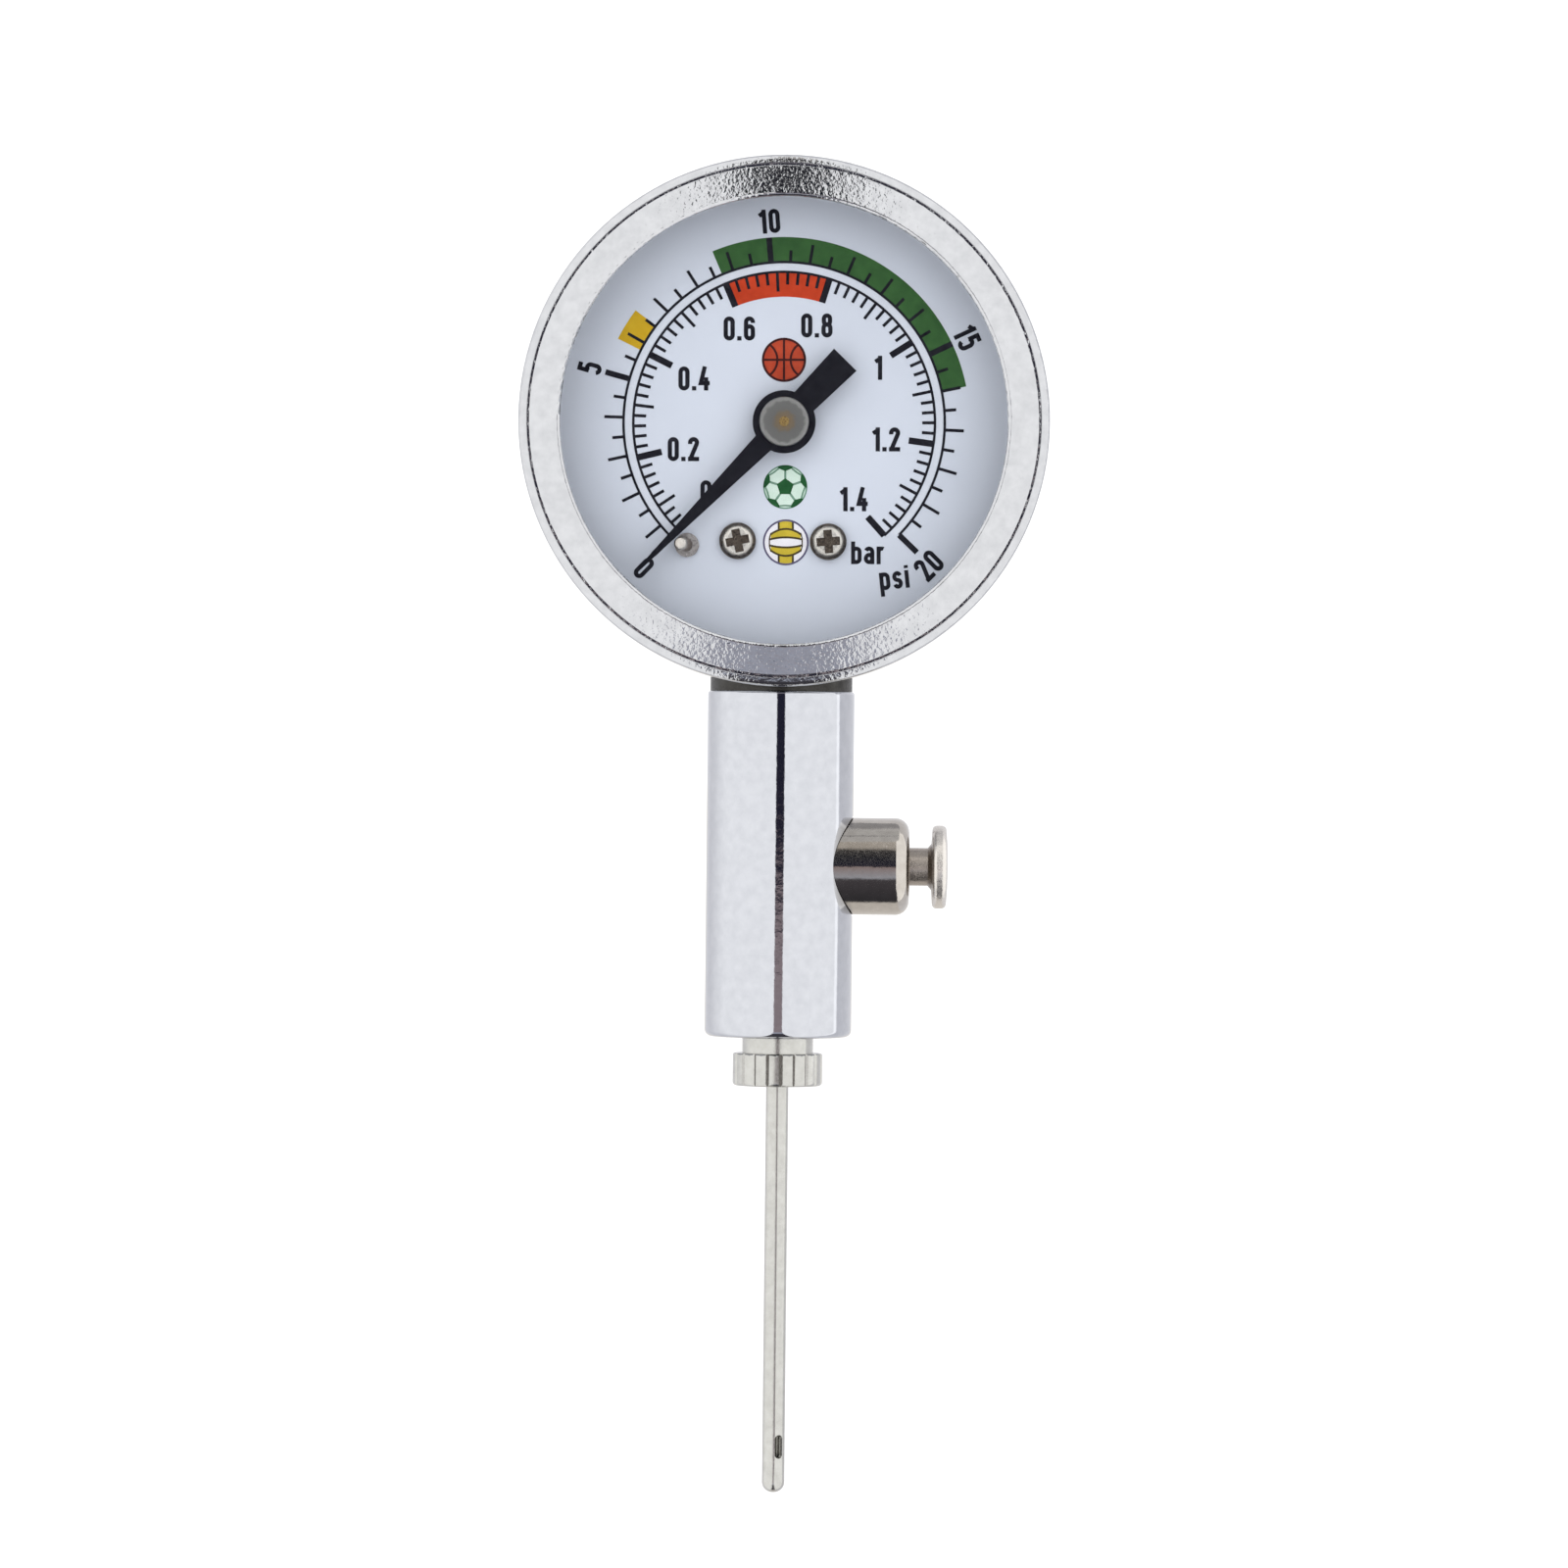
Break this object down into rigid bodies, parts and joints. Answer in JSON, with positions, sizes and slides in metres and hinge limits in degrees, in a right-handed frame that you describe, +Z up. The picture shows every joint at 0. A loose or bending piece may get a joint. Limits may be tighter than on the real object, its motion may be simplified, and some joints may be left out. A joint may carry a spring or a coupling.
{
  "type": "ball pressure gauge",
  "caption": "Dial pressure gauge for sports balls: round chromed case on a barrel with a side push-button release valve and an inflation needle below.",
  "frame": {"origin": "centre of the needle where it leaves the lower face of its collar", "axes": "+Z up the stem towards the dial, -Y out of the dial's face, +X along the release valve"},
  "size_m": [0.042, 0.0209, 0.1067],
  "materials": {
    "chrome_case": "bright chrome plate on pressed steel",
    "chrome_barrel": "bright chrome plate on turned brass",
    "valve_nickel": "warm bright nickel plate on turned brass",
    "needle_nickel": "satin nickel plate on brass",
    "clear_lens": "clear flat window",
    "rubber": "black rubber",
    "dial_white": "blue-white enamel on aluminium",
    "screw_steel": "plated steel",
    "pin_steel": "plain steel",
    "brass": "turned brass",
    "bronze_tube": "drawn phosphor bronze",
    "gear_brass": "stamped brass",
    "spring_bronze": "spring bronze strip",
    "spring_steel": "music wire",
    "pointer_black": "black satin enamel",
    "boss_steel": "turned grey steel",
    "washer_bronze": "dark oxidised bronze"
  },
  "bodies": {
    "housing": {"case_cup": "chrome_case", "bezel_ring": "chrome_case", "lens": "clear_lens", "lens_gasket": "rubber", "dial_plate": "dial_white", "dial_screws": "screw_steel", "stop_pin": "pin_steel", "bourdon_tube": "bronze_tube", "gauge_socket": "brass", "movement_front_plate": "gear_brass", "movement_back_plate": "gear_brass", "movement_pillars": "gear_brass", "pillar_screws": "screw_steel", "movement_screws": "screw_steel", "hairspring": "spring_bronze", "hairspring_stud": "gear_brass", "stem_washer": "washer_bronze", "stud_seal": "rubber", "handle_barrel": "chrome_barrel", "valve_housing": "valve_nickel", "valve_spring": "spring_steel"},
    "pointer_set": {"pinion_arbor": "gear_brass", "pointer": "pointer_black", "pointer_boss": "boss_steel"},
    "sector": {"sector_gear": "gear_brass", "sector_arbor": "gear_brass", "link_pin": "pin_steel"},
    "tip": {"tube_tip": "brass"},
    "link_body": {"link": "gear_brass"},
    "plunger": {"valve_button": "valve_nickel", "valve_poppet": "brass", "valve_seal": "rubber"},
    "needle_screw": {"needle_seal": "rubber"},
    "needle": {"needle_base": "needle_nickel", "needle_tube": "needle_nickel"}
  },
  "joints": [
    {"name": "pointer_turn", "type": "hinge", "parent": "housing", "child": "pointer_set", "pos_m": [0, 0, 0.05295], "axis": [0, 1, 0], "range_deg": [0, 270], "stiffness_Nm_per_rad": 0.00005, "springref_deg": -17.19, "deforming": ["hairspring"]},
    {"name": "sector_turn", "type": "hinge", "parent": "housing", "child": "sector", "pos_m": [0.00636, 0, 0.04659], "axis": [0, 1, 0], "range_deg": [-33.75, 0]},
    {"name": "tip_travel", "type": "slide", "parent": "housing", "child": "tip", "axis": [0.4315, 0, 0.9021], "range_m": [0, 0.0022], "deforming": ["bourdon_tube"]},
    {"name": "link_turn", "type": "hinge", "parent": "tip", "child": "link_body", "pos_m": [0.01184, 0, 0.04864], "axis": [0, 1, 0], "range_deg": [-2.32, 0]},
    {"name": "valve_press", "type": "slide", "parent": "housing", "child": "plunger", "axis": [-1, 0, 0], "range_m": [0, 0.0014], "stiffness_N_per_m": 600, "springref_m": -0.003, "deforming": ["valve_spring"]},
    {"name": "needle_advance", "type": "slide", "parent": "housing", "child": "needle_screw", "axis": [0, 0, -1], "range_m": [0, 0.0044]},
    {"name": "needle_turn", "type": "hinge", "parent": "needle_screw", "child": "needle", "pos_m": [0, 0, 0], "axis": [0, 0, -1], "range_deg": [0, 1980]}
  ],
  "couplings": [
    {"joint": "pointer_turn", "follows": "tip_travel", "rad_per_m": 2142},
    {"joint": "sector_turn", "follows": "tip_travel", "rad_per_m": -267.75},
    {"joint": "link_turn", "follows": "tip_travel", "rad_per_m": -18.405},
    {"joint": "needle_turn", "follows": "needle_advance", "rad_per_m": 7854}
  ]
}
